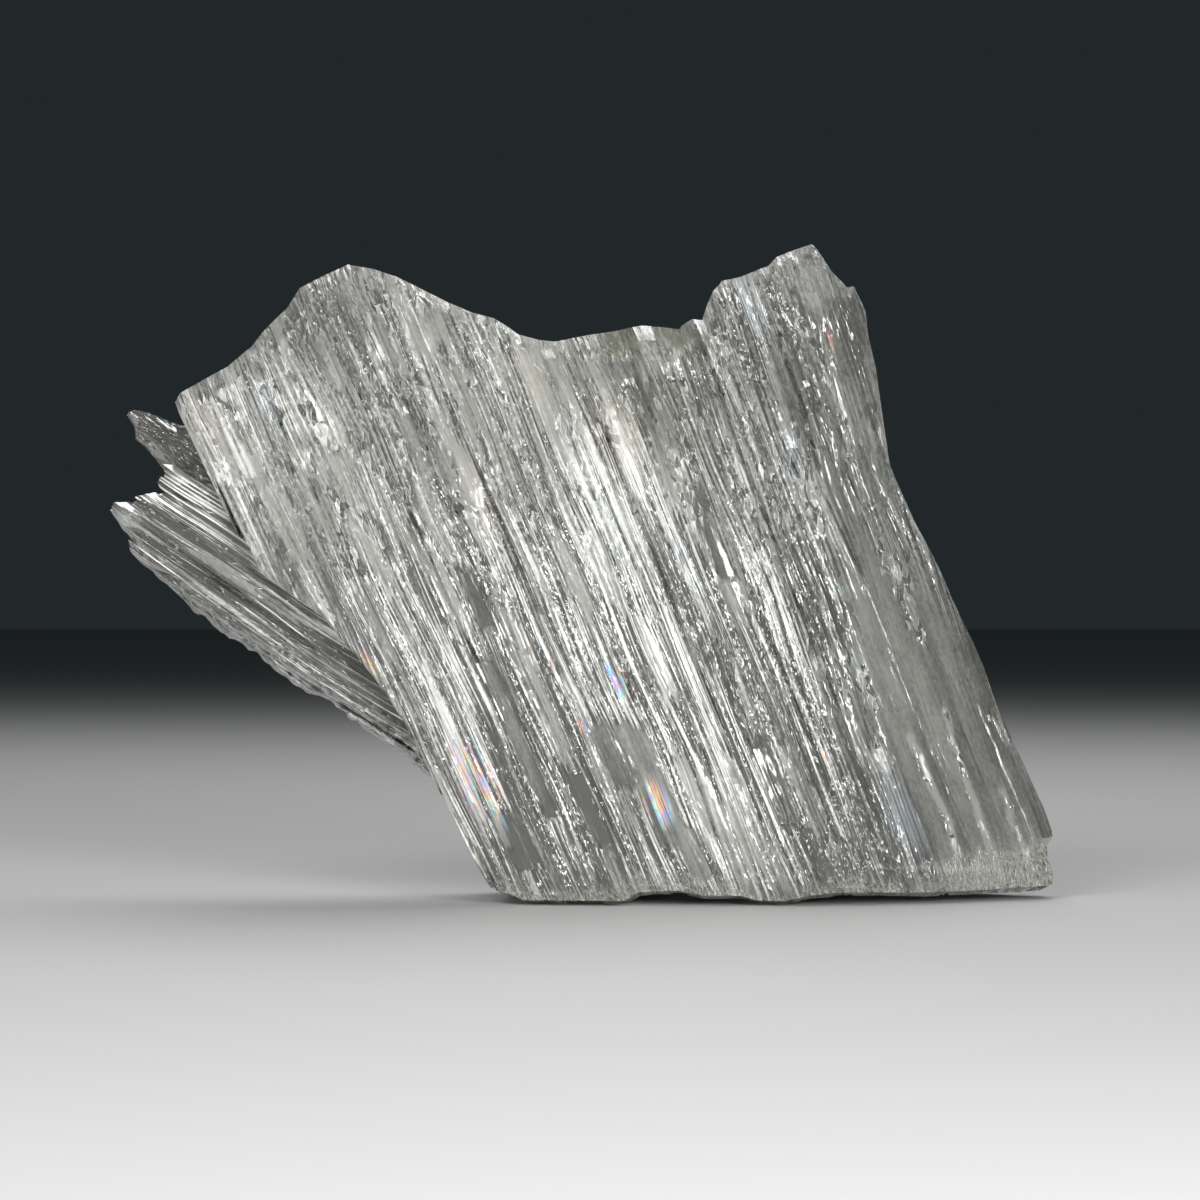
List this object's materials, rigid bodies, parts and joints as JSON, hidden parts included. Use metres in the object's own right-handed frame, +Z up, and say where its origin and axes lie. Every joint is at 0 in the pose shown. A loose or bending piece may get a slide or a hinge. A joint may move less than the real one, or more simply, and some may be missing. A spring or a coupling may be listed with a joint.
{
  "type": "probertite specimen",
  "caption": "Standing slab of glassy, parallel fibrous crystals with a spray of thicker blades at its left side.",
  "frame": {"origin": "middle of the bounding box at the height of the base it stands on", "axes": "+Z up, +X to the right along the slab's width, +Y through its thickness away from the face shown in the picture"},
  "size_m": [0.0938, 0.0256, 0.0653],
  "materials": {
    "crystal": "glassy to satin fibrous crystal, colourless to pale grey"
  },
  "bodies": {
    "root": {"probertite": "crystal"}
  },
  "joints": []
}
